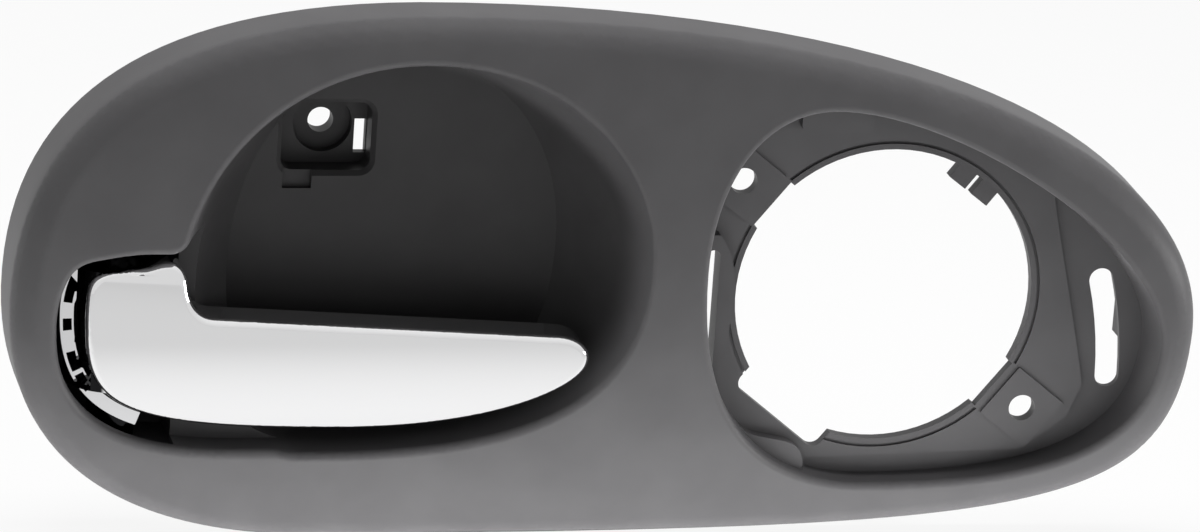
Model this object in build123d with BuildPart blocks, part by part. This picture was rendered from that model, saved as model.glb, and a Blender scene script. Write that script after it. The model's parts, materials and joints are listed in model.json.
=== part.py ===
"""Interior door handle: a moulded bezel with finger pocket and speaker seat, and a chrome pull lever."""
# Units are mm. x is to the right as seen from the cabin, z is up, -y faces the cabin.
# The origin is on the fixing-screw axis, where the screw boss meets the door inner panel.
# Heights named H_... are measured from the door inner panel towards the cabin, so y = -H.
import os
from build123d import *

os.makedirs("parts", exist_ok=True)

# construction: longer than the part, deeper than the rim, and how far joined features sink into each other
LONG = 400.0
DEEP = 20.0
SINK = 1.0

# bezel face: the four extreme points of its outline, as (x, z), and how full each quarter is
FACE_LEFT = (-82.3, -37.9)
FACE_TOP = (23.9, 36.3)
FACE_RIGHT = (226.5, -47.1)
FACE_BOTTOM = (-1.0, -104.4)
FACE_FULL = ((0.66, 0.67), (0.52, 0.68), (0.93, 0.84), (0.63, 0.60))
H_CROWN = 46.0
H_RIM = 22.0
CROWN_RADIUS = 260.0
CROWN_Z = -17.7
FACE_ROUND = 7.5
INSIDE_CHAMFER = 3.0
WALL = 2.6

# finger pocket: a D-shaped bowl, its outline at the face and at the floor, and the sections between them
WELL_LEFT = (-39.5, -36.0)
WELL_TOP = (21.0, 25.2)
WELL_RIGHT = (79.0, -28.0)
WELL_BOTTOM = (-6.0, -78.6)
FLOOR_LEFT = (-24.0, -36.0)
FLOOR_TOP = (20.0, 19.5)
FLOOR_RIGHT = (61.0, -28.0)
FLOOR_BOTTOM = (-2.0, -77.5)
WELL_FULL = ((0.62, 0.55), (0.62, 0.55), (0.75, 0.70), (0.60, 0.60))
H_FLOOR = 16.0
WELL_SECTIONS = ((48.0, -0.12), (36.0, 0.14), (24.0, 0.55), (H_FLOOR, 1.0))
WELL_ROUND = 2.2

# slot to the left of the bowl, for the hinge end of the lever
SLOT_LEFT = (-70.8, -42.0)
SLOT_TOP = (-48.0, -23.3)
SLOT_BOTTOM = (-24.0, -77.4)
SLOT_RIGHT_X = 10.0
SLOT_FULL = ((0.70, 0.50), (0.70, 0.66))
NOSE_ROUND = 5.0

# screw window in the pocket floor, with a boss behind it for the fixing screw
WINDOW_WIDTH = 23.0
WINDOW_HEIGHT = 18.0
WINDOW_Z = -1.4
WINDOW_CORNER = 3.0
WINDOW_EDGE_ROUND = 1.2
H_WINDOW = 8.0
SCREW_RADIUS = 3.3
SCREW_HEAD_RADIUS = 7.6
H_SCREW_SEAT = 5.0
BOSS_RADIUS = 10.0
COVER_SLOT_WIDTH = 3.0
COVER_SLOT_HEIGHT = 9.0
COVER_SLOT_AT = (9.8, -3.3)
PRY_NOTCH = (7.5, 5.0)
PRY_NOTCH_AT = (-7.2, -12.4)
PRY_NOTCH_DEPTH = 1.6

# speaker recess: outline at the face, and the round seat in it
BAY_LEFT = (94.8, -28.0)
BAY_TOP = (126.0, 14.5)
BAY_RIGHT = (217.3, -50.0)
BAY_BOTTOM = (143.0, -89.3)
BAY_FULL = ((0.60, 0.60), (0.35, 0.45), (0.70, 0.70), (0.62, 0.66))
BAY_DRAFT = 1.2
BAY_ROUND = 1.8
H_SEAT = 29.0
SEAT_THICK = 3.0
SEAT_CENTRE = (145.5, -39.2)
SPEAKER_RADIUS = 39.3
FLAT_WIDTH = 14.6
FLAT_REACH = 39.9
TERMINAL_WIDTH = 29.0
TERMINAL_REACH = 42.7
TERMINAL_ANGLE = 231.5
TERMINAL_CORNER = 3.0
LIP_WIDTH = 1.5
GROOVE_WIDTH = 0.8
GROOVE_DEPTH = 0.7
SPEAKER_SCREW_CIRCLE = 100.2
SPEAKER_SCREW_ANGLE = 142.0
SPEAKER_SCREW_RADIUS = 3.5
LAND_WIDTH = 15.5
LAND_LENGTH = 16.0
LAND_HEIGHT = 0.6
SHELF_DROP = 1.2
SHELF_LINE = ((186.0, 2.0), (189.6, -16.0), (195.5, -40.7), (200.8, -63.9))
SHELF_CORNER = (197.5, -72.5)
SHELF_CORNER_END = (185.9, -81.5)
SHELF_END = (128.0, -83.6)
GRILLE_SLOT_ARC = ((203.8, -35.6), (206.6, -49.0), (207.6, -61.6))
GRILLE_SLOT_WIDTH = 6.4
CURB_LINE = (
    (100.4, -22.0),
    (104.0, -29.0),
    (104.2, -62.0),
    (111.5, -75.5),
    (124.0, -79.0),
    (126.2, -88.0),
)
CURB_HEIGHT = 3.5
SIDE_SLOT_WIDTH = 3.6
SIDE_SLOT_LENGTH = 34.0
SIDE_SLOT_AT = (98.9, -43.0)
TAB_LENGTH = 19.0
TAB_WIDTH = 7.0
TAB_AT = (129.0, 9.0)
TAB_HEIGHT = 3.4
TAB_CORNER = 2.0
PRONG_ANGLE = 53.0
PRONG_WIDTH = 5.4
PRONG_GAP = 2.2
PRONG_TIP = 34.3
PRONG_ROOT = 42.0
PRONG_THICK = 2.4

# hinge: upright pin axis, hinge bay behind the left end of the pocket, ears above and below the hub
PIVOT_X = -54.0
H_PIVOT = 27.5
PIN_RADIUS = 2.5
PIN_CLEARANCE = 0.05
PIN_ENGAGE = 2.6
PIN_CHAMFER = 0.5
EAR_TOP_Z = -24.0
EAR_BOTTOM_Z = -78.5
EAR_THICK = 3.0
HINGE_LEFT = -70.4
HINGE_RIGHT = -38.6
H_HINGE_FRONT = 36.5
H_HINGE_FLOOR = 13.6
TAIL_SLOT_WIDTH = 18.6
TAIL_SLOT_HEIGHT = 13.0
TAIL_SLOT_AT = (-49.2, -47.0)
H_PARTITION = 29.0

# cable bracket on the left wall of the hinge bay, and the post that carries the rest bumper
CABLE_ARM = 20.0
CABLE_Z = -46.5
CABLE_SLOT_RADIUS = 2.6
BRACKET_WIDTH = 18.0
H_BRACKET_BACK = 2.0
POST_AT = (-26.0, -57.0)
POST_RADIUS = 4.6
H_POST = 27.0

# stiffening ribs behind the face, and hooks that hold the bezel to the door trim
RIB_XS = (-20.0, 20.0, 87.0)
RIB_THICK = 1.8
H_RIB_BACK = 25.0
HOOK_PLACES = ((215.6, -50.0, 1, 0), (138.0, 13.0, 0, 1), (150.0, -87.5, 0, -1))
HOOK_WIDTH = 10.0
HOOK_THICK = 2.4
HOOK_BARB = 1.6
H_HOOK_ROOT = 27.0
H_HOOK_CATCH = 19.2
H_HOOK_BARB = 17.0
H_HOOK_TIP = 11.0

# lever: outline of the front plate, and its shell
LEVER_LEFT = (-63.1, -43.0)
LEVER_HEEL = (-50.0, -28.6)
LEVER_HORN = (-42.6, -27.2)
LEVER_THROAT = (-37.6, -33.0)
LEVER_NECK = (-30.5, -41.4)
LEVER_TIP_TOP = (58.0, -46.2)
LEVER_TIP = (66.4, -52.5)
LEVER_BOTTOM = (5.0, -72.0)
H_LEVER = 42.0
LEVER_CROWN_RADIUS = 90.0
LEVER_CROWN_Z = -46.0
H_LEVER_BACK = 31.0
LEVER_WALL = 2.2
LEVER_EDGE_ROUND = 2.0
LEVER_RIB_XS = (-26.0, 5.0, 36.0)
LEVER_RIB_THICK = 1.8
HUB_RADIUS = 12.5
HUB_TOP_Z = -30.0
HUB_BOTTOM_Z = -61.5
COLLAR_RADIUS = 6.2
COLLAR_GAP = 1.4
LADDER_ZS = (-46.0, -52.0, -58.0)
LADDER_HEIGHT = 4.2
LADDER_SKIRT = 1.3
LADDER_WIDTH = 4.4
H_LADDER = 29.0
TAIL_WIDTH = 6.4
H_TAIL_END = 3.5
TAIL_BOTTOM_Z = -52.0
TAIL_TOP_Z = -42.0
SPRING_FINGER_START = 7.0
SPRING_FINGER_END = 12.0
NIPPLE_RADIUS = 2.2
CABLE_WIRE_SLOT = 1.6

# return spring in a window of the hub
SPRING_RADIUS = 4.8
SPRING_WIRE = 0.7
SPRING_PITCH = 1.5
SPRING_TURNS = 4.75
SPRING_RUNS = 14
SPRING_BOTTOM_Z = -40.0
SPRING_WINDOW_TOP_Z = -31.2
SPRING_ROOM = 0.9
SPRING_LEG = 12.0

# rubber rest bumper
BUMPER_RADIUS = 4.0
BUMPER_STEM_RADIUS = 1.9
BUMPER_STEM_LENGTH = 6.0
BUMPER_GAP = 0.15
BUMPER_ROUND = 0.8


def ring(left, top, right, bottom, full, grow=0.0):
    """Closed outline through four extreme points, upright at left and right, level at top and bottom."""
    (xl, zl), (xt, zt), (xr, zr), (xb, zb) = left, top, right, bottom
    xl -= grow
    zt += grow
    xr += grow
    zb -= grow
    (a, b), (c, d), (e, f), (g, h) = full
    Bezier((xl, zl), (xl, zl + a * (zt - zl)), (xt - b * (xt - xl), zt), (xt, zt))
    Bezier((xt, zt), (xt + c * (xr - xt), zt), (xr, zr + d * (zt - zr)), (xr, zr))
    Bezier((xr, zr), (xr, zr - e * (zr - zb)), (xb + f * (xr - xb), zb), (xb, zb))
    Bezier((xb, zb), (xb - g * (xb - xl), zb), (xl, zl - h * (zl - zb)), (xl, zl))


def between(rim, floor, share):
    """Point on the way from the pocket's rim to its floor."""
    return rim[0] + share * (floor[0] - rim[0]), rim[1] + share * (floor[1] - rim[1])


def well_face(height, share, grow=0.0):
    """Section of the pocket at a height, with its edges kept apart so that the sections match one to one."""
    with BuildLine(Plane.XZ.offset(height)) as outline:
        ring(
            between(WELL_LEFT, FLOOR_LEFT, share),
            between(WELL_TOP, FLOOR_TOP, share),
            between(WELL_RIGHT, FLOOR_RIGHT, share),
            between(WELL_BOTTOM, FLOOR_BOTTOM, share),
            WELL_FULL,
            grow,
        )
    return Face(Wire(outline.edges()))


def slot_ring(grow=0.0):
    """Outline of the lever slot: rounded at the left, open into the bowl at the right."""
    xl, zl = SLOT_LEFT
    xt, zt = SLOT_TOP
    xb, zb = SLOT_BOTTOM
    xl -= grow
    zt += grow
    zb -= grow
    (a, b), (c, d) = SLOT_FULL
    Bezier((xl, zl), (xl, zl + a * (zt - zl)), (xt - b * (xt - xl), zt), (xt, zt))
    Polyline((xt, zt), (SLOT_RIGHT_X, zt), (SLOT_RIGHT_X, zb), (xb, zb))
    Bezier((xb, zb), (xb - c * (xb - xl), zb), (xl, zl - d * (zl - zb)), (xl, zl))


def lever_ring(inset=0.0):
    """Outline of the lever plate: tall hinge end with a horn at its top, long grip with a rounded tip."""
    xl, zl = LEVER_LEFT
    xh, zh = LEVER_HEEL
    xo, zo = LEVER_HORN
    xs, zs = LEVER_THROAT
    xn, zn = LEVER_NECK
    xu, zu = LEVER_TIP_TOP
    xt, zt = LEVER_TIP
    xb, zb = LEVER_BOTTOM
    xl += inset
    zh -= inset
    zo -= inset
    xs -= inset
    zn -= inset
    zu -= inset
    xt -= inset
    zb += inset
    fall = (zu - zn) / (xu - xn)
    Bezier((xl, zl), (xl, zl + 0.62 * (zh - zl)), (xh - 0.6 * (xh - xl), zh), (xh, zh))
    Bezier((xh, zh), (xh + 0.4 * (xo - xh), zh), (xo - 0.4 * (xo - xh), zo), (xo, zo))
    Bezier((xo, zo), (xo + 0.6 * (xs - xo), zo), (xs - 0.4, zs + 3.2), (xs, zs))
    Bezier((xs, zs), (xs + 0.6, zs - 4.8), (xn - 4.4, zn - 4.4 * fall), (xn, zn))
    Bezier((xn, zn), (xn + 28.0, zn + 28.0 * fall), (xu - 28.0, zu - 28.0 * fall), (xu, zu))
    Bezier((xu, zu), (xu + 5.0, zu + 5.0 * fall), (xt, zt + 0.55 * (zu - zt)), (xt, zt))
    Bezier((xt, zt), (xt, zt - 0.42 * (zt - zb)), (xb + 0.6 * (xt - xb), zb), (xb, zb))
    Bezier((xb, zb), (xb - 0.82 * (xb - xl), zb), (xl, zl - 0.8 * (zl - zb)), (xl, zl))


# barrel-shaped limits of the face, outside and inside
with BuildPart() as front:
    with BuildSketch(Plane.YZ):
        with Locations((CROWN_RADIUS - H_CROWN, CROWN_Z)):
            Circle(CROWN_RADIUS)
    extrude(amount=LONG, both=True)

with BuildPart() as front_inside:
    with BuildSketch(Plane.YZ):
        with Locations((CROWN_RADIUS - H_CROWN, CROWN_Z)):
            Circle(CROWN_RADIUS - WALL)
    extrude(amount=LONG, both=True)

# solid block of the bezel, before it is hollowed
with BuildPart() as blank:
    with BuildSketch(Plane.XZ.offset(-DEEP)):
        with BuildLine():
            ring(FACE_LEFT, FACE_TOP, FACE_RIGHT, FACE_BOTTOM, FACE_FULL)
        make_face()
    extrude(amount=H_CROWN + 2 * DEEP)
    add(front.part, mode=Mode.INTERSECT)
    fillet(blank.faces().sort_by(Axis.Y)[0].edges(), FACE_ROUND)

# bowl of the finger pocket with the lever slot, inside and outside of its wall
with BuildPart() as bowl:
    loft(sections=[well_face(height, share) for height, share in WELL_SECTIONS])
    with BuildSketch(Plane.XZ.offset(H_PARTITION)):
        with BuildLine():
            slot_ring()
        make_face()
    extrude(amount=WELL_SECTIONS[0][0] - H_PARTITION)
    fillet(bowl.edges().sort_by_distance((WELL_LEFT[0], -H_LEVER, SLOT_TOP[1]))[0], NOSE_ROUND)

with BuildPart() as bowl_outside:
    loft(sections=[well_face(height - WALL, share, WALL) for height, share in WELL_SECTIONS])
    with BuildSketch(Plane.XZ.offset(H_PARTITION - WALL)):
        with BuildLine():
            slot_ring(WALL)
        make_face()
    extrude(amount=WELL_SECTIONS[0][0] - H_PARTITION)

# recess of the speaker, inside and outside of its wall
with BuildPart() as recess:
    with BuildSketch(Plane.XZ.offset(H_CROWN + SINK)):
        with BuildLine():
            ring(BAY_LEFT, BAY_TOP, BAY_RIGHT, BAY_BOTTOM, BAY_FULL)
        make_face()
    with BuildSketch(Plane.XZ.offset(H_SEAT)):
        with BuildLine():
            ring(BAY_LEFT, BAY_TOP, BAY_RIGHT, BAY_BOTTOM, BAY_FULL, -BAY_DRAFT)
        make_face()
    loft()

with BuildPart() as recess_outside:
    with BuildSketch(Plane.XZ.offset(H_CROWN + SINK)):
        with BuildLine():
            ring(BAY_LEFT, BAY_TOP, BAY_RIGHT, BAY_BOTTOM, BAY_FULL, WALL)
        make_face()
    with BuildSketch(Plane.XZ.offset(H_SEAT - SEAT_THICK)):
        with BuildLine():
            ring(BAY_LEFT, BAY_TOP, BAY_RIGHT, BAY_BOTTOM, BAY_FULL, WALL - BAY_DRAFT)
        make_face()
    loft()

# what is left empty behind the face: everything but the walls of pocket, recess and hinge bay, and ribs
with BuildPart() as cavity:
    with BuildSketch(Plane.XZ.offset(-DEEP)):
        with BuildLine():
            ring(FACE_LEFT, FACE_TOP, FACE_RIGHT, FACE_BOTTOM, FACE_FULL, -WALL)
        make_face()
    extrude(amount=H_CROWN + 2 * DEEP)
    add(front_inside.part, mode=Mode.INTERSECT)
    chamfer(cavity.faces().sort_by(Axis.Y)[0].edges(), INSIDE_CHAMFER)
    with BuildSketch(Plane.XZ.offset(-DEEP)):
        with BuildLine():
            ring(FACE_LEFT, FACE_TOP, FACE_RIGHT, FACE_BOTTOM, FACE_FULL, WALL)
        make_face()
    extrude(amount=H_RIM + DEEP)
    add(bowl_outside.part, mode=Mode.SUBTRACT)
    add(recess_outside.part, mode=Mode.SUBTRACT)
    with BuildSketch(Plane.XZ.offset(H_HINGE_FLOOR - WALL)):
        with Locations(((HINGE_LEFT + HINGE_RIGHT) / 2, (EAR_TOP_Z + EAR_BOTTOM_Z) / 2)):
            Rectangle(HINGE_RIGHT - HINGE_LEFT + 2 * WALL, EAR_TOP_Z - EAR_BOTTOM_Z + 2 * EAR_THICK)
        with BuildLine():
            ring(FACE_LEFT, FACE_TOP, FACE_RIGHT, FACE_BOTTOM, FACE_FULL, -WALL / 2)
        make_face(mode=Mode.INTERSECT)
    extrude(amount=H_CROWN - H_HINGE_FLOOR + WALL, mode=Mode.SUBTRACT)
    with BuildSketch(Plane.XZ.offset(H_RIB_BACK)):
        with Locations(*[(x, WINDOW_Z) for x in RIB_XS]):
            Rectangle(RIB_THICK, LONG)
    extrude(amount=H_CROWN - H_RIB_BACK, mode=Mode.SUBTRACT)

with BuildPart() as bezel:
    add(blank.part)
    add(bowl.part, mode=Mode.SUBTRACT)
    add(recess.part, mode=Mode.SUBTRACT)
    face = bezel.faces().filter_by(GeomType.CYLINDER).sort_by(SortBy.AREA)[-1]
    fillet(face.inner_wires().sort_by(Axis.X)[0].edges(), WELL_ROUND)
    face = bezel.faces().filter_by(GeomType.CYLINDER).sort_by(SortBy.AREA)[-1]
    fillet(face.inner_wires().sort_by(Axis.X)[-1].edges(), BAY_ROUND)
    add(cavity.part, mode=Mode.SUBTRACT)
    # hinge bay: a slot in its floor for the tail arm, a low partition towards the pocket
    with BuildSketch(Plane.XZ.offset(H_HINGE_FLOOR)):
        with Locations(((HINGE_LEFT + HINGE_RIGHT) / 2, (EAR_TOP_Z + EAR_BOTTOM_Z) / 2)):
            Rectangle(HINGE_RIGHT - HINGE_LEFT, EAR_TOP_Z - EAR_BOTTOM_Z)
        with BuildLine():
            ring(FACE_LEFT, FACE_TOP, FACE_RIGHT, FACE_BOTTOM, FACE_FULL, -2 * WALL)
        make_face(mode=Mode.INTERSECT)
    extrude(amount=H_HINGE_FRONT - H_HINGE_FLOOR, mode=Mode.SUBTRACT)
    with BuildSketch(Plane.XZ.offset(H_HINGE_FLOOR - WALL)):
        with Locations(TAIL_SLOT_AT):
            Rectangle(TAIL_SLOT_WIDTH, TAIL_SLOT_HEIGHT)
    extrude(amount=2 * WALL, mode=Mode.SUBTRACT)
    with BuildSketch(Plane.XZ.offset(H_FLOOR - WALL)):
        with Locations((HINGE_RIGHT + WALL / 2, (EAR_TOP_Z + EAR_BOTTOM_Z) / 2)):
            Rectangle(WALL, EAR_TOP_Z - EAR_BOTTOM_Z)
    extrude(amount=H_PARTITION - H_FLOOR + WALL)
    with BuildSketch(Plane.XY.offset(EAR_BOTTOM_Z - EAR_THICK)):
        with Locations((PIVOT_X, -H_PIVOT)):
            Circle(PIN_RADIUS + PIN_CLEARANCE)
    extrude(amount=EAR_TOP_Z - EAR_BOTTOM_Z + 2 * EAR_THICK, mode=Mode.SUBTRACT)
    # cable bracket with an open slot for the end of the cable sheath
    with BuildSketch(Plane.YZ.offset(HINGE_LEFT - WALL)):
        with Locations((-H_BRACKET_BACK, CABLE_Z)):
            Rectangle(H_HINGE_FLOOR - H_BRACKET_BACK, BRACKET_WIDTH, align=(Align.MAX, Align.CENTER))
        with Locations((CABLE_ARM - H_PIVOT, CABLE_Z)):
            Circle(CABLE_SLOT_RADIUS, mode=Mode.SUBTRACT)
            Rectangle(DEEP, 2 * CABLE_SLOT_RADIUS, align=(Align.MIN, Align.CENTER), mode=Mode.SUBTRACT)
    extrude(amount=WALL)
    # screw window, boss and fixing hole
    with BuildSketch(Plane.XZ.offset(H_WINDOW - WALL)):
        with Locations((0, WINDOW_Z)):
            RectangleRounded(WINDOW_WIDTH + 2 * WALL, WINDOW_HEIGHT + 2 * WALL, WINDOW_CORNER + WALL)
    extrude(amount=H_FLOOR - H_WINDOW)
    with BuildSketch(Plane.XZ):
        Circle(BOSS_RADIUS)
    extrude(amount=H_WINDOW)
    with BuildSketch(Plane.XZ.offset(H_WINDOW)):
        with Locations((0, WINDOW_Z)):
            RectangleRounded(WINDOW_WIDTH, WINDOW_HEIGHT, WINDOW_CORNER)
    extrude(amount=H_FLOOR, mode=Mode.SUBTRACT)
    with BuildSketch(Plane.XZ.offset(H_FLOOR - WINDOW_EDGE_ROUND)):
        with Locations((0, WINDOW_Z)):
            RectangleRounded(WINDOW_WIDTH, WINDOW_HEIGHT, WINDOW_CORNER)
    extrude(amount=2 * WINDOW_EDGE_ROUND, taper=-45, mode=Mode.SUBTRACT)
    with BuildSketch(Plane.XZ.offset(H_SCREW_SEAT)):
        Circle(SCREW_HEAD_RADIUS)
    extrude(amount=H_WINDOW, mode=Mode.SUBTRACT)
    with BuildSketch(Plane.XZ):
        Circle(SCREW_RADIUS)
        with Locations(COVER_SLOT_AT):
            Rectangle(COVER_SLOT_WIDTH, COVER_SLOT_HEIGHT)
    extrude(amount=H_WINDOW, mode=Mode.SUBTRACT)
    with BuildSketch(Plane.XZ.offset(H_FLOOR - PRY_NOTCH_DEPTH)):
        with Locations(PRY_NOTCH_AT):
            Rectangle(*PRY_NOTCH)
    extrude(amount=2 * PRY_NOTCH_DEPTH, mode=Mode.SUBTRACT)
    # post for the rest bumper
    with BuildSketch(Plane.XZ.offset(H_FLOOR - WALL)):
        with Locations(POST_AT):
            Circle(POST_RADIUS)
    extrude(amount=H_POST - H_FLOOR + WALL)
    with BuildSketch(Plane.XZ.offset(H_POST - BUMPER_STEM_LENGTH)):
        with Locations(POST_AT):
            Circle(BUMPER_STEM_RADIUS)
    extrude(amount=BUMPER_STEM_LENGTH, mode=Mode.SUBTRACT)
    # hooks behind the speaker recess, catching the edge of the door trim
    for x, z, out_x, out_z in HOOK_PLACES:
        with BuildSketch(Plane((x, 0, z), x_dir=(out_x, 0, out_z), z_dir=(out_z, 0, -out_x))):
            with BuildLine():
                Polyline(
                    (0, H_HOOK_ROOT),
                    (-HOOK_THICK, H_HOOK_ROOT),
                    (-HOOK_THICK, H_HOOK_TIP),
                    (-HOOK_THICK / 2, H_HOOK_TIP),
                    (HOOK_BARB, H_HOOK_BARB),
                    (HOOK_BARB, H_HOOK_CATCH),
                    (0, H_HOOK_CATCH),
                    close=True,
                )
            make_face()
        extrude(amount=HOOK_WIDTH / 2, both=True)
    # speaker seat: lower shelf outside the plateau, raised curb at the left, tab at the top, two lands
    with BuildSketch(Plane.XZ.offset(H_SEAT - SHELF_DROP)):
        with BuildLine():
            ring(BAY_LEFT, BAY_TOP, BAY_RIGHT, BAY_BOTTOM, BAY_FULL, -BAY_DRAFT)
        make_face()
        with BuildLine():
            Spline(*SHELF_LINE)
            Line(SHELF_LINE[-1], SHELF_CORNER)
            Line(SHELF_CORNER, SHELF_CORNER_END)
            Line(SHELF_CORNER_END, SHELF_END)
            Polyline(
                SHELF_END,
                (SHELF_END[0], -LONG),
                (-LONG, -LONG),
                (-LONG, LONG),
                (SHELF_LINE[0][0], LONG),
                SHELF_LINE[0],
            )
        make_face(mode=Mode.SUBTRACT)
    extrude(amount=SHELF_DROP, mode=Mode.SUBTRACT)
    with BuildSketch(Plane.XZ.offset(H_SEAT - SINK)):
        with BuildLine():
            ring(BAY_LEFT, BAY_TOP, BAY_RIGHT, BAY_BOTTOM, BAY_FULL)
        make_face()
        with BuildLine():
            Spline(*CURB_LINE)
            Polyline(
                CURB_LINE[-1],
                (CURB_LINE[-1][0], -LONG),
                (-LONG, -LONG),
                (-LONG, CURB_LINE[0][1]),
                CURB_LINE[0],
            )
        make_face(mode=Mode.INTERSECT)
    extrude(amount=CURB_HEIGHT + SINK)
    with BuildSketch(Plane.XZ.offset(H_SEAT - SINK)):
        with Locations(TAB_AT):
            RectangleRounded(TAB_LENGTH, TAB_WIDTH, TAB_CORNER)
    extrude(amount=TAB_HEIGHT + SINK)
    with BuildSketch(Plane.XZ.offset(H_SEAT - SINK)):
        with Locations(SEAT_CENTRE):
            with PolarLocations(SPEAKER_SCREW_CIRCLE / 2, 2, SPEAKER_SCREW_ANGLE):
                Rectangle(LAND_LENGTH, LAND_WIDTH)
    extrude(amount=LAND_HEIGHT + SINK)
    # two prongs behind the seat, reaching into the opening
    with BuildSketch(Plane.XZ.offset(H_SEAT - SEAT_THICK - PRONG_THICK)):
        with Locations(SEAT_CENTRE):
            with PolarLocations(PRONG_TIP, 1, PRONG_ANGLE):
                with Locations((0, (PRONG_WIDTH + PRONG_GAP) / 2), (0, -(PRONG_WIDTH + PRONG_GAP) / 2)):
                    Rectangle(PRONG_ROOT - PRONG_TIP, PRONG_WIDTH, align=(Align.MIN, Align.CENTER))
    prongs = extrude(amount=PRONG_THICK + SINK, mode=Mode.PRIVATE)
    # opening, its lip groove, screw holes and slots
    with BuildSketch(Plane.XZ.offset(H_SEAT - GROOVE_DEPTH)):
        with Locations(SEAT_CENTRE):
            Circle(SPEAKER_RADIUS + LIP_WIDTH + GROOVE_WIDTH)
            Circle(SPEAKER_RADIUS + LIP_WIDTH, mode=Mode.SUBTRACT)
            Rectangle(LONG, LAND_WIDTH, rotation=SPEAKER_SCREW_ANGLE, mode=Mode.SUBTRACT)
    extrude(amount=GROOVE_DEPTH, mode=Mode.SUBTRACT)
    with BuildSketch(Plane.XZ.offset(H_SEAT - 2 * SEAT_THICK)):
        with Locations(SEAT_CENTRE):
            Circle(SPEAKER_RADIUS)
            Rectangle(2 * FLAT_REACH, FLAT_WIDTH, rotation=SPEAKER_SCREW_ANGLE)
            RectangleRounded(
                TERMINAL_REACH, TERMINAL_WIDTH, TERMINAL_CORNER, TERMINAL_ANGLE, (Align.MIN, Align.CENTER)
            )
            with PolarLocations(SPEAKER_SCREW_CIRCLE / 2, 2, SPEAKER_SCREW_ANGLE):
                Circle(SPEAKER_SCREW_RADIUS)
        with BuildLine(mode=Mode.PRIVATE) as slot_line:
            ThreePointArc(*GRILLE_SLOT_ARC)
        SlotArc(slot_line.wires()[0], GRILLE_SLOT_WIDTH)
        with Locations(SIDE_SLOT_AT):
            SlotOverall(SIDE_SLOT_LENGTH, SIDE_SLOT_WIDTH, rotation=90)
    extrude(amount=4 * SEAT_THICK, mode=Mode.SUBTRACT)
    add(prongs)
bezel.part.label = "bezel"
export_step(bezel.part, "parts/bezel.step")

# lever: plate with a hollow back and cross ribs, on a hub with a tail arm
with BuildPart() as lever_front:
    with BuildSketch(Plane.YZ):
        with Locations((LEVER_CROWN_RADIUS - H_LEVER, LEVER_CROWN_Z)):
            Circle(LEVER_CROWN_RADIUS)
    extrude(amount=LONG, both=True)

with BuildPart() as lever_front_inside:
    with BuildSketch(Plane.YZ):
        with Locations((LEVER_CROWN_RADIUS - H_LEVER, LEVER_CROWN_Z)):
            Circle(LEVER_CROWN_RADIUS - LEVER_WALL)
    extrude(amount=LONG, both=True)

with BuildPart() as lever_hollow:
    with BuildSketch(Plane.XZ.offset(H_LEVER_BACK)):
        with BuildLine():
            lever_ring(LEVER_WALL)
        make_face()
    extrude(amount=H_LEVER - H_LEVER_BACK)
    add(lever_front_inside.part, mode=Mode.INTERSECT)
    with BuildSketch(Plane.XZ.offset(H_LEVER_BACK)):
        with Locations(*[(x, LEVER_CROWN_Z) for x in LEVER_RIB_XS]):
            Rectangle(LEVER_RIB_THICK, LONG)
    extrude(amount=H_LEVER - H_LEVER_BACK, mode=Mode.SUBTRACT)

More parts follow.
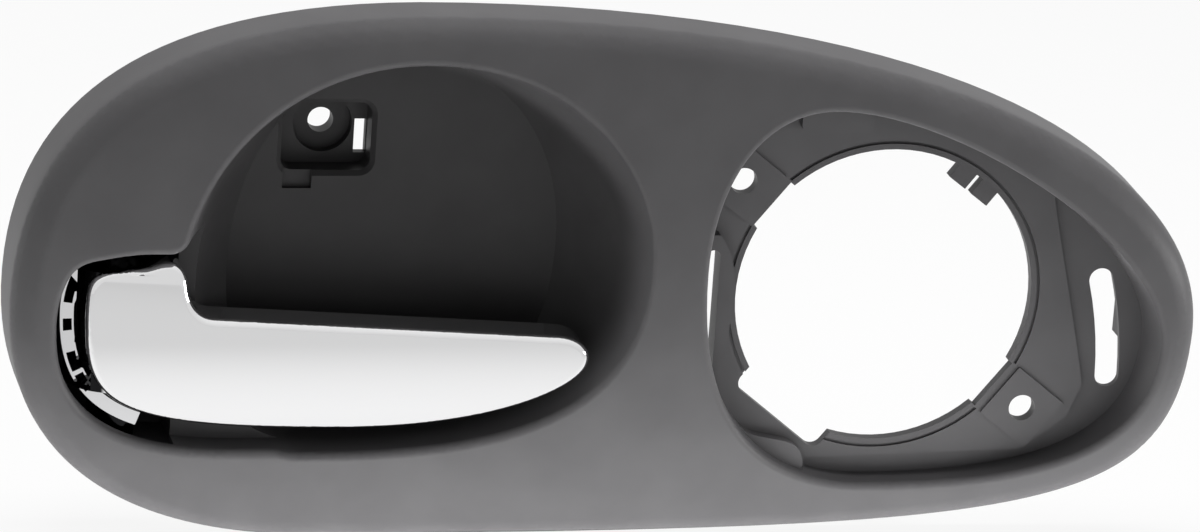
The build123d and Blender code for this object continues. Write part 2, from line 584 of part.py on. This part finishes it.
with BuildPart() as hub:
    with BuildSketch(Plane.XY.offset(HUB_BOTTOM_Z)):
        with Locations((PIVOT_X, -H_PIVOT)):
            Circle(HUB_RADIUS)
    extrude(amount=HUB_TOP_Z - HUB_BOTTOM_Z)
    with BuildSketch(Plane.XY.offset(EAR_BOTTOM_Z + COLLAR_GAP)):
        with Locations((PIVOT_X, -H_PIVOT)):
            Circle(COLLAR_RADIUS)
    extrude(amount=EAR_TOP_Z - EAR_BOTTOM_Z - 2 * COLLAR_GAP)
    # pockets between thin ribs on the side that shows past the plate
    with BuildSketch(Plane.XZ.offset(H_LADDER)):
        with Locations(*[(PIVOT_X - HUB_RADIUS + LADDER_SKIRT, z) for z in LADDER_ZS]):
            Rectangle(LADDER_WIDTH, LADDER_HEIGHT, align=(Align.MIN, Align.CENTER))
    extrude(amount=H_LEVER - H_LADDER, mode=Mode.SUBTRACT)
    # window for the return spring, open at the back
    with BuildSketch(Plane.XY.offset(SPRING_BOTTOM_Z - SPRING_WIRE - SPRING_ROOM)):
        with Locations((PIVOT_X, -H_PIVOT)):
            Circle(SPRING_RADIUS + SPRING_WIRE + SPRING_ROOM)
            Rectangle(3 * HUB_RADIUS, HUB_RADIUS, align=(Align.CENTER, Align.MIN))
    spring_window = extrude(
        amount=SPRING_WINDOW_TOP_Z - SPRING_BOTTOM_Z + SPRING_WIRE + SPRING_ROOM, mode=Mode.PRIVATE
    )
    add(spring_window, mode=Mode.SUBTRACT)
    # tail arm with a hole and slot for the cable nipple, and a finger for the spring leg
    with BuildSketch(Plane.YZ.offset(PIVOT_X - TAIL_WIDTH / 2)):
        with BuildLine():
            Polyline(
                (-H_PIVOT, TAIL_BOTTOM_Z),
                (-H_TAIL_END, TAIL_BOTTOM_Z),
                (-H_TAIL_END, TAIL_TOP_Z),
                (SPRING_FINGER_END - H_PIVOT, TAIL_TOP_Z),
                (SPRING_FINGER_END - H_PIVOT, SPRING_WINDOW_TOP_Z),
                (SPRING_FINGER_START - H_PIVOT, SPRING_WINDOW_TOP_Z),
                (SPRING_FINGER_START - H_PIVOT, TAIL_TOP_Z),
                (-H_PIVOT, TAIL_TOP_Z),
                close=True,
            )
        make_face()
    extrude(amount=TAIL_WIDTH)
    with BuildSketch(Plane.XY.offset(TAIL_BOTTOM_Z)):
        with Locations((PIVOT_X, CABLE_ARM - H_PIVOT)):
            Circle(NIPPLE_RADIUS)
    extrude(amount=TAIL_TOP_Z - TAIL_BOTTOM_Z, mode=Mode.SUBTRACT)
    with BuildSketch(Plane.XY.offset(CABLE_Z - CABLE_WIRE_SLOT / 2)):
        with Locations((PIVOT_X, CABLE_ARM - H_PIVOT)):
            Rectangle(TAIL_WIDTH, CABLE_WIRE_SLOT, align=(Align.MAX, Align.CENTER))
    extrude(amount=TAIL_TOP_Z - CABLE_Z, mode=Mode.SUBTRACT)
    with BuildSketch(Plane.XY.offset(EAR_BOTTOM_Z)):
        with Locations((PIVOT_X, -H_PIVOT)):
            Circle(PIN_RADIUS)
    pin_bore = extrude(amount=EAR_TOP_Z - EAR_BOTTOM_Z, mode=Mode.PRIVATE)

with BuildPart() as lever:
    with BuildSketch(Plane.XZ.offset(H_LEVER_BACK)):
        with BuildLine():
            lever_ring()
        make_face()
    extrude(amount=H_LEVER - H_LEVER_BACK + SINK)
    add(lever_front.part, mode=Mode.INTERSECT)
    fillet(lever.faces().sort_by(Axis.Y)[0].edges(), LEVER_EDGE_ROUND)
    add(lever_hollow.part, mode=Mode.SUBTRACT)
    add(spring_window, mode=Mode.SUBTRACT)
    add(hub.part)
    add(pin_bore, mode=Mode.SUBTRACT)
lever.part.label = "lever"
export_step(lever.part, "parts/lever.step")

# pivot pin, pressed into the hub, turning in the ears
with BuildPart() as pivot_pin:
    with BuildSketch(Plane.XY.offset(EAR_BOTTOM_Z - PIN_ENGAGE)):
        with Locations((PIVOT_X, -H_PIVOT)):
            Circle(PIN_RADIUS)
    extrude(amount=EAR_TOP_Z - EAR_BOTTOM_Z + 2 * PIN_ENGAGE)
    chamfer(pivot_pin.edges(), PIN_CHAMFER)
pivot_pin.part.label = "pivot_pin"
export_step(pivot_pin.part, "parts/pivot_pin.step")

# return spring: coil in short straight runs, one leg along the finger of the tail, one towards the partition
with BuildPart() as return_spring:
    with BuildLine(mode=Mode.PRIVATE) as coil:
        turn = Helix(
            SPRING_PITCH,
            SPRING_PITCH * SPRING_TURNS,
            SPRING_RADIUS,
            center=(PIVOT_X, -H_PIVOT, SPRING_BOTTOM_Z),
            lefthand=True,
        )
    runs = round(SPRING_TURNS * SPRING_RUNS)
    with BuildLine() as path:
        Polyline(
            turn @ 0 - (turn % 0) * SPRING_LEG,
            *[turn @ (i / runs) for i in range(runs + 1)],
            turn @ 1 + (turn % 1) * SPRING_LEG,
        )
    with BuildSketch(Plane(turn @ 0 - (turn % 0) * SPRING_LEG, z_dir=turn % 0)):
        Circle(SPRING_WIRE)
    sweep(path=path.wires()[0], transition=Transition.RIGHT)
return_spring.part.label = "return_spring"
export_step(return_spring.part, "parts/return_spring.step")

# rubber bumper with a stem pushed into the post
with BuildPart() as rest_bumper:
    with BuildSketch(Plane.XZ.offset(H_POST - BUMPER_STEM_LENGTH)):
        with Locations(POST_AT):
            Circle(BUMPER_STEM_RADIUS)
    extrude(amount=BUMPER_STEM_LENGTH)
    with BuildSketch(Plane.XZ.offset(H_POST)):
        with Locations(POST_AT):
            Circle(BUMPER_RADIUS)
    extrude(amount=H_LEVER_BACK - BUMPER_GAP - H_POST)
    fillet(rest_bumper.faces().sort_by(Axis.Y)[0].edges(), BUMPER_ROUND)
rest_bumper.part.label = "rest_bumper"
export_step(rest_bumper.part, "parts/rest_bumper.step")
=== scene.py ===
import json
import math

import bmesh
import bpy
from mathutils import Matrix, Vector
from mathutils.geometry import interpolate_bezier


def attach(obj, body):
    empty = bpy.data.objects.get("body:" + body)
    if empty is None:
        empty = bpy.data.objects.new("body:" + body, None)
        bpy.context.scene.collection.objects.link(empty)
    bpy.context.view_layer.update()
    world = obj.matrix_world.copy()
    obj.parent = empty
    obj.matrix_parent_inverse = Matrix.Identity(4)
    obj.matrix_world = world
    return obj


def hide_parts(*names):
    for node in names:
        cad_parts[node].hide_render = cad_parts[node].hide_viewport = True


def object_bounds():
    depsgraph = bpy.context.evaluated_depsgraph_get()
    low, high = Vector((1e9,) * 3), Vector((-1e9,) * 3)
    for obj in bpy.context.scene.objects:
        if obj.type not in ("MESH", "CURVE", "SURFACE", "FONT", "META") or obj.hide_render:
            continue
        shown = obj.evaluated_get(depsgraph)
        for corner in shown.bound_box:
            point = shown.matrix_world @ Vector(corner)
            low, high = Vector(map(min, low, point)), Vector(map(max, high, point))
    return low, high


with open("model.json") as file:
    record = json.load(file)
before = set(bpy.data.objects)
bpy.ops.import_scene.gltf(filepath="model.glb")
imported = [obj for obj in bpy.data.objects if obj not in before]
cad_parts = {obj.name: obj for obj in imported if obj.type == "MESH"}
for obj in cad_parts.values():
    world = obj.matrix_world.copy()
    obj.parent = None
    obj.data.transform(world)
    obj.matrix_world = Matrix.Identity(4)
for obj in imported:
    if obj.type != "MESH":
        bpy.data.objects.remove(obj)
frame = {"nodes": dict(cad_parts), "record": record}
cad_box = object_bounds()


# Bezel: one injection moulding in dark slate-grey plastic, with a fine matte grain on every face.
# It carries the finger pocket, the screw window, the speaker seat and the hinge bay of the lever.
# Hooks behind the speaker recess and one screw through the window hold it to the door.
def merged_copy(node, body, corner):
    """Copy of a solid with its seams joined, so that its roundings shade smoothly up to real corners."""
    mesh = frame["nodes"][node].data.copy()
    mesh.name = node + "_skin"
    shape = bmesh.new()
    shape.from_mesh(mesh)
    bmesh.ops.remove_doubles(shape, verts=shape.verts, dist=SEAM)
    for face in shape.faces:
        face.smooth = True
    for edge in shape.edges:
        edge.smooth = len(edge.link_faces) == 2 and edge.calc_face_angle(0.0) < corner
    shape.to_mesh(mesh)
    shape.free()
    piece = bpy.data.objects.new(node + "_skin", mesh)
    bpy.context.scene.collection.objects.link(piece)
    keep_flat = piece.modifiers.new("keep_flat", "WEIGHTED_NORMAL")
    keep_flat.mode = "FACE_AREA"
    keep_flat.weight = 50
    keep_flat.keep_sharp = True
    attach(piece, body)
    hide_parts(node)
    return piece


def swell(piece, middle, spread, push, behind):
    """Push a rounded corner out softly; the hub and what lies behind the limit stay."""
    for vert in piece.data.vertices:
        off = math.hypot(vert.co.x - middle[0], vert.co.z - middle[1]) / spread
        from_axis = math.hypot(vert.co.x - PIVOT[0], vert.co.y - PIVOT[1])
        if vert.co.y < behind and off < SWELL_END and from_axis > HUB_RADIUS:
            vert.co += math.exp(-0.5 * off ** 2) * Vector(push)


def new_material(name):
    material = bpy.data.materials.new(name)
    material.use_nodes = True
    nodes = material.node_tree.nodes
    return material, nodes, material.node_tree.links, nodes["Principled BSDF"]


def use_material(piece, material):
    piece.data.materials.clear()
    piece.data.materials.append(material)


def noise(nodes, links, coordinates, scale, detail):
    texture = nodes.new("ShaderNodeTexNoise")
    texture.inputs["Scale"].default_value = scale
    texture.inputs["Detail"].default_value = detail
    links.new(coordinates, texture.inputs["Vector"])
    return texture.outputs["Fac"]


def ramp(nodes, links, value, stops):
    color_ramp = nodes.new("ShaderNodeValToRGB")
    elements = color_ramp.color_ramp.elements
    elements[0].position, elements[0].color = stops[0]
    elements[1].position, elements[1].color = stops[-1]
    for position, color in stops[1:-1]:
        elements.new(position).color = color
    links.new(value, color_ramp.inputs["Fac"])
    return color_ramp.outputs["Color"]


def math_node(nodes, links, operation, first, second):
    node = nodes.new("ShaderNodeMath")
    node.operation = operation
    links.new(first, node.inputs[0])
    if isinstance(second, float):
        node.inputs[1].default_value = second
    else:
        links.new(second, node.inputs[1])
    return node.outputs["Value"]


def smooth_step(nodes, links, value, start, end, low, high):
    step = nodes.new("ShaderNodeMapRange")
    step.interpolation_type = "SMOOTHSTEP"
    for socket, number in (("From Min", start), ("From Max", end), ("To Min", low), ("To Max", high)):
        step.inputs[socket].default_value = number
    links.new(value, step.inputs["Value"])
    return step.outputs["Result"]


SEAM = 2e-6
PIVOT = frame["record"]["behaviour"]["joints"][0]["pos_m"]
HUB_RADIUS = 0.0126
SWELL_END = 2.6
MOULDED_CORNER = math.radians(38)
CROWN_Y = -0.046
CROWN_Z = -0.0177
CROWN_RADIUS = 0.260
POCKET_MIDDLE = (0.003, 0.0, -0.032)
POCKET_REACH = (0.0765, 1000.0, 0.052)
POCKET_RIM = (0.98, 1.06)
# Depths below the crowned face over which the painted shade in the finger pocket fades in.
SHADE_START_DEPTH = 0.0015
SHADE_FULL_DEPTH = 0.0150
SLOT_CORNER = dict(middle=(-0.0660, -0.0295), spread=0.0052, push=(-0.0008, 0.0, 0.0021), behind=-0.0260)
bezel = merged_copy("bezel", "housing", MOULDED_CORNER)
swell(bezel, **SLOT_CORNER)
plastic, nodes, links, shader = new_material("bezel_plastic")
place = nodes.new("ShaderNodeTexCoord").outputs["Object"]
mottle = noise(nodes, links, place, 60.0, 3.0)
# The lighter grey is the plastic's own colour; the darker grey is painted shade for the pocket's walls and
# floor.
slate_grey = ramp(nodes, links, mottle, [(0.3, (0.079, 0.077, 0.080, 1)), (0.7, (0.089, 0.087, 0.090, 1))])
painted_pocket_shade = ramp(nodes, links, mottle, [(0.3, (0.036, 0.035, 0.036, 1)), (0.7, (0.043, 0.042, 0.043, 1))])
spot = nodes.new("ShaderNodeSeparateXYZ")
links.new(place, spot.inputs["Vector"])
above_crown = math_node(nodes, links, "SUBTRACT", spot.outputs["Z"], CROWN_Z)
bow = math_node(nodes, links, "DIVIDE", math_node(nodes, links, "POWER", above_crown, 2.0), 2 * CROWN_RADIUS)
below_top = math_node(nodes, links, "SUBTRACT", spot.outputs["Y"], CROWN_Y)
depth = math_node(nodes, links, "SUBTRACT", below_top, bow)
centred = nodes.new("ShaderNodeMapping")
centred.vector_type = "TEXTURE"
centred.inputs["Location"].default_value = POCKET_MIDDLE
centred.inputs["Scale"].default_value = POCKET_REACH
links.new(place, centred.inputs["Vector"])
sideways = nodes.new("ShaderNodeVectorMath")
sideways.operation = "LENGTH"
links.new(centred.outputs["Vector"], sideways.inputs[0])
# Painted shade: the pocket's walls and floor turn darker with depth below the face, inside the finger pocket
# only.
depth_shade = smooth_step(nodes, links, depth, SHADE_START_DEPTH, SHADE_FULL_DEPTH, 0.0, 1.0)
within = smooth_step(nodes, links, sideways.outputs["Value"], *POCKET_RIM, 1.0, 0.0)
pocket_shade = math_node(nodes, links, "MULTIPLY", depth_shade, within)
tint = nodes.new("ShaderNodeMix")
tint.data_type = "RGBA"
links.new(pocket_shade, tint.inputs["Factor"])
links.new(slate_grey, tint.inputs[6])
links.new(painted_pocket_shade, tint.inputs[7])
links.new(tint.outputs[2], shader.inputs["Base Color"])
shader.inputs["Roughness"].default_value = 0.44
shader.inputs["Specular IOR Level"].default_value = 0.22
grain = noise(nodes, links, place, 2600.0, 2.0)
bump = nodes.new("ShaderNodeBump")
bump.inputs["Strength"].default_value = 0.12
bump.inputs["Distance"].default_value = 0.00006
links.new(grain, bump.inputs["Height"])
links.new(bump.outputs["Normal"], shader.inputs["Normal"])
use_material(bezel, plastic)

# Pull lever: moulded plastic with bright chrome plating, hinged at its left end.
# Its hub holds the pivot pin behind the plate, and the hub is painted near-black there as painted shade.
LEVER_CORNER = dict(middle=(-0.0595, -0.0325), spread=0.0045, push=(-0.0020, 0.0, 0.0014), behind=-0.0308)
HUB_SHADE_RADIUS = (0.0127, 0.0130)
HUB_SHADE_Y = (-0.0396, -0.0392)
lever = merged_copy("lever", "pull_lever", MOULDED_CORNER)
swell(lever, **LEVER_CORNER)
chrome, nodes, links, shader = new_material("lever_chrome")
place = nodes.new("ShaderNodeTexCoord").outputs["Object"]
spot = nodes.new("ShaderNodeSeparateXYZ")
links.new(place, spot.inputs["Vector"])
round_hub = nodes.new("ShaderNodeMapping")
round_hub.inputs["Location"].default_value = (-PIVOT[0], -PIVOT[1], 0.0)
round_hub.inputs["Scale"].default_value = (1.0, 1.0, 0.0)
links.new(place, round_hub.inputs["Vector"])
radius = nodes.new("ShaderNodeVectorMath")
radius.operation = "LENGTH"
links.new(round_hub.outputs["Vector"], radius.inputs[0])
# Painted shade: the chrome turns near-black on the hub behind the plate, round the pivot.
on_hub = smooth_step(nodes, links, radius.outputs["Value"], *HUB_SHADE_RADIUS, 1.0, 0.0)
behind = smooth_step(nodes, links, spot.outputs["Y"], *HUB_SHADE_Y, 0.0, 1.0)
hub_shade = math_node(nodes, links, "MULTIPLY", on_hub, behind)
chrome_and_hub_shade = ramp(nodes, links, hub_shade, [(0.0, (0.90, 0.90, 0.905, 1)), (1.0, (0.015, 0.015, 0.016, 1))])
links.new(chrome_and_hub_shade, shader.inputs["Base Color"])
haze = noise(nodes, links, place, 90.0, 4.0)
gloss = ramp(nodes, links, haze, [(0.3, (0.03, 0.03, 0.03, 1)), (0.7, (0.06, 0.06, 0.06, 1))])
links.new(gloss, shader.inputs["Roughness"])
shader.inputs["Metallic"].default_value = 1.0
use_material(lever, chrome)

# Rim of the lever's hub: a plated strip that follows the left end of the slot behind the plate.
# It is moulded with the hub in plated plastic, and open between its rungs.
RIM_TOP = (-0.0480, -0.0233)
RIM_LEFT = (-0.0708, -0.0420)
RIM_BOTTOM = (-0.0240, -0.0774)
RIM_FRONT_Y = -0.0338
RIM_DEPTH = 0.0040
RIM_LANES = (0.0020, 0.0008, 0.0022, 0.0006)
RIM_OPENINGS = ((-0.0400, -0.0345), (-0.0468, -0.0432), (-0.0570, -0.0530), (-0.0622, -0.0588))
RIM_START_Z = -0.0285
RIM_END_X = -0.0475
RIM_EDGE = 0.0003
UPPER_FULLNESS = (0.50, 0.70)
LOWER_FULLNESS = (0.66, 0.70)
UPPER_STEPS = 28
LOWER_STEPS = 40


def rim_point(x, z):
    return Vector((x, RIM_FRONT_Y, z))


(xt, zt), (xl, zl), (xb, zb) = RIM_TOP, RIM_LEFT, RIM_BOTTOM
upper = interpolate_bezier(
    rim_point(xt, zt),
    rim_point(xt - UPPER_FULLNESS[0] * (xt - xl), zt),
    rim_point(xl, zl + UPPER_FULLNESS[1] * (zt - zl)),
    rim_point(xl, zl),
    UPPER_STEPS,
)
lower = interpolate_bezier(
    rim_point(xl, zl),
    rim_point(xl, zl - LOWER_FULLNESS[0] * (zl - zb)),
    rim_point(xb - LOWER_FULLNESS[1] * (xb - xl), zb),
    rim_point(xb, zb),
    LOWER_STEPS,
)
path = [point for point in upper[:-1] + lower if point.z < RIM_START_Z and point.x < RIM_END_X]
shape = bmesh.new()
line = [shape.verts.new(point) for point in path]
inwards = []
for index, vert in enumerate(line):
    ahead = path[min(index + 1, len(path) - 1)] - path[max(index - 1, 0)]
    inwards.append(Vector((-ahead.z, 0.0, ahead.x)).normalized())
for vert, inward in zip(line, inwards):
    vert.co += RIM_LANES[0] * inward
row = [shape.edges.new(pair) for pair in zip(line, line[1:])]
lanes = []
for lane in RIM_LANES[1:]:
    made = bmesh.ops.extrude_edge_only(shape, edges=row)["geom"]
    row = [part for part in made if isinstance(part, bmesh.types.BMEdge)]
    lanes.append([part for part in made if isinstance(part, bmesh.types.BMFace)])
    new_verts = {vert for edge in row for vert in edge.verts}
    for vert in new_verts:
        joined = [edge.other_vert(vert) for edge in vert.link_edges]
        start = next(other for other in joined if other not in new_verts)
        nearest = min(range(len(path)), key=lambda i: (path[i] - start.co).length)
        vert.co += lane * inwards[nearest]
openings = [
    face for face in lanes[1] if any(low < face.calc_center_median().z < high for low, high in RIM_OPENINGS)
]
bmesh.ops.delete(shape, geom=openings, context="FACES")
bmesh.ops.recalc_face_normals(shape, faces=shape.faces)
if sum(face.normal.y for face in shape.faces) > 0:
    bmesh.ops.reverse_faces(shape, faces=shape.faces)
bmesh.ops.solidify(shape, geom=shape.faces[:], thickness=RIM_DEPTH)
rim_mesh = bpy.data.meshes.new("hub_rim")
shape.to_mesh(rim_mesh)
shape.free()
rim = bpy.data.objects.new("hub_rim", rim_mesh)
bpy.context.scene.collection.objects.link(rim)
swell(rim, **SLOT_CORNER)
rim_bevel = rim.modifiers.new("rim_edges", "BEVEL")
rim_bevel.width = RIM_EDGE
rim_bevel.segments = 2
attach(rim, "pull_lever")
plated, nodes, links, shader = new_material("rim_chrome")
place = nodes.new("ShaderNodeTexCoord").outputs["Object"]
haze = noise(nodes, links, place, 160.0, 4.0)
gloss = ramp(nodes, links, haze, [(0.3, (0.04, 0.04, 0.04, 1)), (0.7, (0.09, 0.09, 0.09, 1))])
links.new(gloss, shader.inputs["Roughness"])
shader.inputs["Base Color"].default_value = (0.80, 0.80, 0.81, 1)
shader.inputs["Metallic"].default_value = 1.0
use_material(rim, plated)

# Pivot pin and return spring: plain steel, pressed into the hub and wound round the pin.
# Both sit deep in the hinge bay.
steel, nodes, links, shader = new_material("steel")
place = nodes.new("ShaderNodeTexCoord").outputs["Object"]
drawn = noise(nodes, links, place, 700.0, 3.0)
gloss = ramp(nodes, links, drawn, [(0.3, (0.25, 0.25, 0.25, 1)), (0.7, (0.40, 0.40, 0.40, 1))])
links.new(gloss, shader.inputs["Roughness"])
shader.inputs["Base Color"].default_value = (0.45, 0.45, 0.46, 1)
shader.inputs["Metallic"].default_value = 1.0
use_material(frame["nodes"]["pivot_pin"], steel)
spring = merged_copy("return_spring", "pull_lever", math.radians(60))
use_material(spring, steel)

# Rest bumper: soft black rubber, its stem pushed into the post behind the lever.
# The lever's back comes to rest on it.
rubber, nodes, links, shader = new_material("bumper_rubber")
place = nodes.new("ShaderNodeTexCoord").outputs["Object"]
bloom = noise(nodes, links, place, 400.0, 4.0)
tint = ramp(nodes, links, bloom, [(0.3, (0.012, 0.012, 0.012, 1)), (0.7, (0.025, 0.025, 0.025, 1))])
links.new(tint, shader.inputs["Base Color"])
shader.inputs["Roughness"].default_value = 0.75
use_material(frame["nodes"]["rest_bumper"], rubber)

# Floor: a wide plain white table top that the handle stands on.
# The camera sees it white, with a faint shadow under the handle.
# Mirrored in the chrome it grows greyer towards the room, which draws the horizon on the lever.
FLOOR_REACH = 4.0
FLOOR_WHITE = 0.9
FLOOR_GAP = 0.0005
ROOM_GREY = 0.70
ROOM_Y = -0.20
HANDLE_Y = -0.065
table = bmesh.new()
bmesh.ops.create_grid(table, x_segments=1, y_segments=1, size=FLOOR_REACH)
bmesh.ops.translate(table, verts=table.verts, vec=(0, 0, cad_box[0][2] - FLOOR_GAP))
table_mesh = bpy.data.meshes.new("floor")
table.to_mesh(table_mesh)
table.free()
floor = bpy.data.objects.new("floor", table_mesh)
bpy.context.scene.collection.objects.link(floor)


def seen_directly(nodes, links):
    """1 for rays from the camera and for mirrored or transmitted ones; 0 for rays that gather light."""
    path = nodes.new("ShaderNodeLightPath")
    seen = path.outputs["Is Camera Ray"]
    for kind in ("Is Glossy Ray", "Is Transmission Ray"):
        seen = math_node(nodes, links, "MAXIMUM", seen, path.outputs[kind])
    return seen


table_top, nodes, links, shader = new_material("floor_white")
nodes.remove(shader)
matte = nodes.new("ShaderNodeBsdfDiffuse")
matte.inputs["Color"].default_value = (0.88, 0.88, 0.88, 1)
white = nodes.new("ShaderNodeEmission")
white.inputs["Strength"].default_value = 1.0
spot = nodes.new("ShaderNodeSeparateXYZ")
links.new(nodes.new("ShaderNodeTexCoord").outputs["Object"], spot.inputs["Vector"])
tone = smooth_step(nodes, links, spot.outputs["Y"], ROOM_Y, HANDLE_Y, ROOM_GREY, 1.0)
in_view = nodes.new("ShaderNodeLightPath").outputs["Is Camera Ray"]
links.new(math_node(nodes, links, "MAXIMUM", tone, in_view), white.inputs["Color"])
share = math_node(nodes, links, "MULTIPLY", seen_directly(nodes, links), FLOOR_WHITE)
mix = nodes.new("ShaderNodeMixShader")
links.new(share, mix.inputs["Fac"])
links.new(matte.outputs["BSDF"], mix.inputs[1])
links.new(white.outputs["Emission"], mix.inputs[2])
links.new(mix.outputs["Shader"], nodes["Material Output"].inputs["Surface"])
use_material(floor, table_top)

# Backdrop and light: a pale, even studio, brighter overhead than at the horizon.
# Four large soft lamps stand at the table, on the right and overhead.
HORIZON_PALE = 0.74
OVERHEAD_PALE = 0.90
AMBIENT = 0.55
world = bpy.data.worlds.new("studio")
bpy.context.scene.world = world
world.use_nodes = True
nodes, links = world.node_tree.nodes, world.node_tree.links
direction = nodes.new("ShaderNodeTexCoord").outputs["Generated"]
height = nodes.new("ShaderNodeSeparateXYZ")
links.new(direction, height.inputs["Vector"])


def sky(name, stops, strength):
    glow = nodes.new("ShaderNodeBackground")
    glow.name = name
    tones = [(position, (tone, tone, tone, 1)) for position, tone in stops]
    links.new(ramp(nodes, links, height.outputs["Z"], tones), glow.inputs["Color"])
    glow.inputs["Strength"].default_value = strength
    return glow.outputs["Background"]


backdrop = sky("backdrop", [(0.0, HORIZON_PALE), (0.25, HORIZON_PALE), (1.0, OVERHEAD_PALE)], 1.0)
light = sky("light", [(0.0, 1.0), (0.35, 0.25), (1.0, 0.25)], AMBIENT)
choose = nodes.new("ShaderNodeMixShader")
links.new(seen_directly(nodes, links), choose.inputs["Fac"])
links.new(light, choose.inputs[1])
links.new(backdrop, choose.inputs[2])
links.new(choose.outputs["Shader"], nodes["World Output"].inputs["Surface"])


def soft_lamp(name, place, towards, size, watts, mirrored=False):
    """Large soft lamp; the camera never sees it, and metal does only if it is mirrored."""
    lamp_data = bpy.data.lights.new(name, "AREA")
    lamp_data.shape = "RECTANGLE"
    lamp_data.size, lamp_data.size_y = size
    lamp_data.energy = watts
    lamp = bpy.data.objects.new(name, lamp_data)
    turn = Vector(towards).to_track_quat("-Z", "Y").to_matrix().to_4x4()
    lamp.matrix_world = Matrix.Translation(place) @ turn
    lamp.visible_camera = False
    lamp.visible_glossy = mirrored
    bpy.context.scene.collection.objects.link(lamp)


MIDDLE_X = 0.072
TABLE_Z = -0.103
soft_lamp("table_light", (MIDDLE_X, -0.13, TABLE_Z), (0, 0, 1), size=(0.6, 0.2), watts=0.36)
soft_lamp("edge_light", (MIDDLE_X, -0.06, TABLE_Z), (0, 0, 1), size=(0.4, 0.06), watts=0.19)
soft_lamp("right_light", (0.8, -0.25, -0.02), (-1, 0.30, 0), size=(0.5, 0.14), watts=2.2, mirrored=True)
soft_lamp("top_light", (MIDDLE_X, -0.02, 0.7), (0, 0, -1), size=(0.9, 0.3), watts=6.5)

# Camera: a little to the left of the handle and above it, as in the photograph.
# It is turned slightly, so that the handle lies level in the picture.
AZIMUTH = math.radians(-13.0)
ELEVATION = math.radians(18.0)
ROLL = math.radians(4.08)
DISTANCE = 1.8
VIEW_WIDTH = 0.303
TARGET = Vector((0.0661975, -0.046, -0.025711))
back = Vector((
    math.sin(AZIMUTH) * math.cos(ELEVATION),
    -math.cos(AZIMUTH) * math.cos(ELEVATION),
    math.sin(ELEVATION),
))
level_right = (-back).cross(Vector((0, 0, 1))).normalized()
level_up = level_right.cross(-back)
right = math.cos(ROLL) * level_right + math.sin(ROLL) * level_up
up = math.cos(ROLL) * level_up - math.sin(ROLL) * level_right
camera_data = bpy.data.cameras.new("camera")
camera_data.sensor_width = 36.0
camera_data.lens = camera_data.sensor_width * DISTANCE / VIEW_WIDTH
camera_data.clip_end = 20.0
camera = bpy.data.objects.new("camera", camera_data)
turn = Matrix((right, up, back)).transposed().to_4x4()
camera.matrix_world = Matrix.Translation(TARGET + DISTANCE * back) @ turn
bpy.context.scene.collection.objects.link(camera)
bpy.context.scene.camera = camera
bpy.context.scene.view_settings.view_transform = "Standard"
